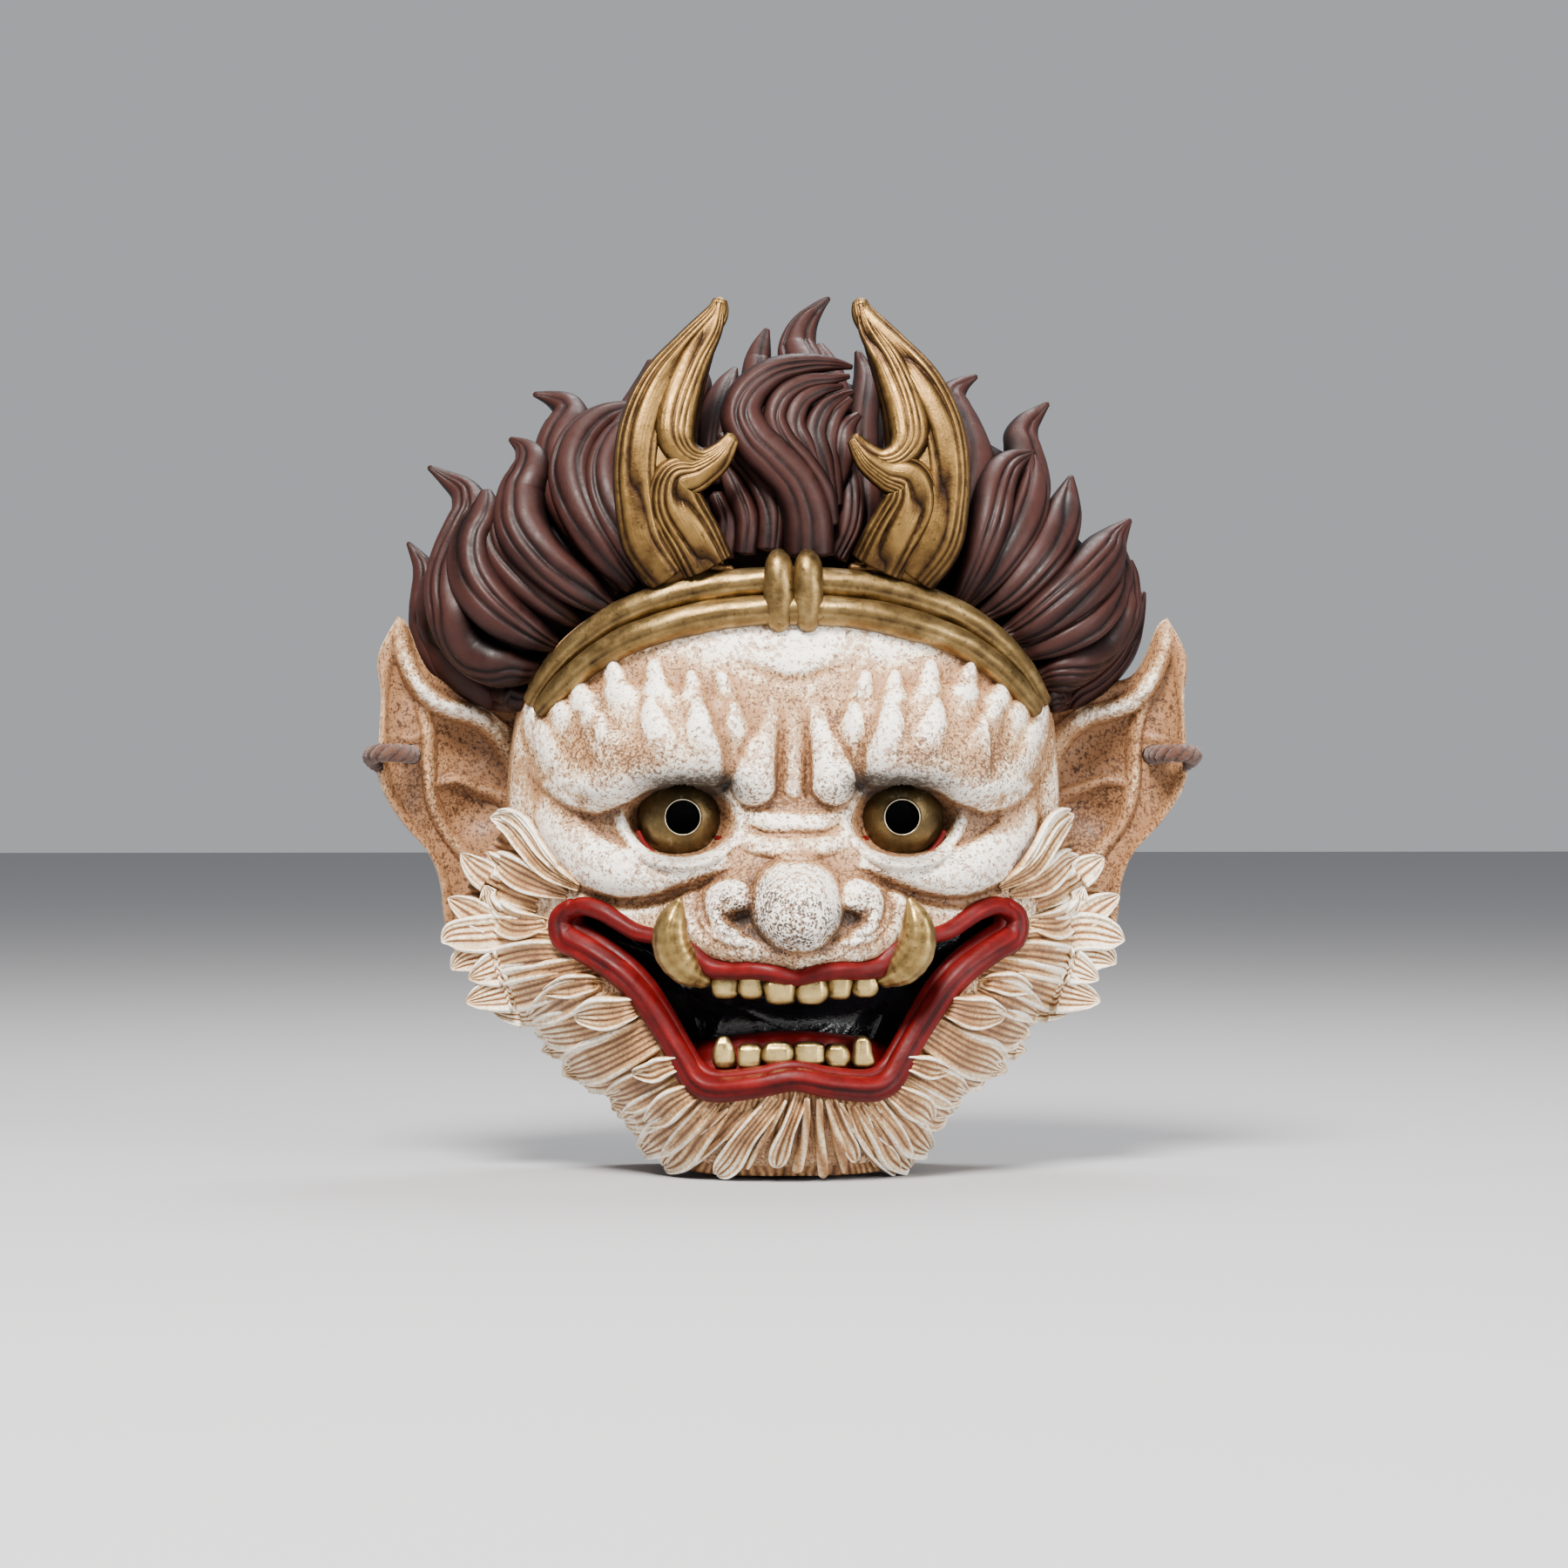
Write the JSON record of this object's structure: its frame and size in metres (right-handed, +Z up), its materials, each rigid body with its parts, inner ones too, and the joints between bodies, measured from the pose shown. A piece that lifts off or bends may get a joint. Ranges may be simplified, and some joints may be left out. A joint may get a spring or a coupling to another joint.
{
  "type": "folk demon mask",
  "caption": "Hollow moulded demon mask with ivory face, feathered beard, gilt horns and headband, brown hair, red lips, bared teeth and a wool tie cord.",
  "frame": {"origin": "midway between the pupils, in the plane of the flat back rim, where the wearer's face goes", "axes": "+Z up from the beard to the hair, the face looks along -Y, +X to the right as seen from the front"},
  "size_m": [0.2482, 0.1072, 0.259],
  "materials": {
    "ivory_resin": "ivory paint over cast resin, brown wash in the grooves, fine dark speckle",
    "hair_lacquer": "dark brown satin paint, lighter on the ridges",
    "horn_gold": "gold paint with brown in the grooves",
    "band_gold": "dull olive gold paint, worn",
    "eye_gold": "olive gold paint, bright rim at the pupil",
    "tooth_gold": "pale gold paint with fine rings",
    "lip_lacquer": "deep red satin paint, darker in the folds",
    "liner_film": "black glossy film, crinkled",
    "cord_wool": "brown twisted wool, matt and fuzzy"
  },
  "bodies": {
    "root": {"face_shell": "ivory_resin", "ear_left": "ivory_resin", "ear_right": "ivory_resin", "beard_left": "ivory_resin", "beard_right": "ivory_resin", "beard_chin": "ivory_resin", "hair_left": "hair_lacquer", "hair_crown": "hair_lacquer", "hair_right": "hair_lacquer", "hair_curl": "hair_lacquer", "headband_upper_roll": "band_gold", "headband_lower_roll": "band_gold", "band_wrap_left": "band_gold", "band_wrap_right": "band_gold", "horn_left": "horn_gold", "horn_right": "horn_gold", "eye_left": "eye_gold", "eye_right": "eye_gold", "tusk_left": "tooth_gold", "tusk_right": "tooth_gold", "upper_tooth_1": "tooth_gold", "upper_tooth_2": "tooth_gold", "upper_tooth_3": "tooth_gold", "upper_tooth_4": "tooth_gold", "upper_tooth_5": "tooth_gold", "upper_tooth_6": "tooth_gold", "lower_tooth_1": "tooth_gold", "lower_tooth_2": "tooth_gold", "lower_tooth_3": "tooth_gold", "lower_tooth_4": "tooth_gold", "lower_tooth_5": "tooth_gold", "lower_tooth_6": "tooth_gold", "upper_lip": "lip_lacquer", "lower_lip": "lip_lacquer", "lower_gum": "lip_lacquer", "mouth_liner": "liner_film", "eye_film_left": "liner_film", "eye_film_right": "liner_film", "tie_cord": "cord_wool", "cord_knot_left": "cord_wool", "cord_knot_right": "cord_wool"}
  },
  "joints": []
}
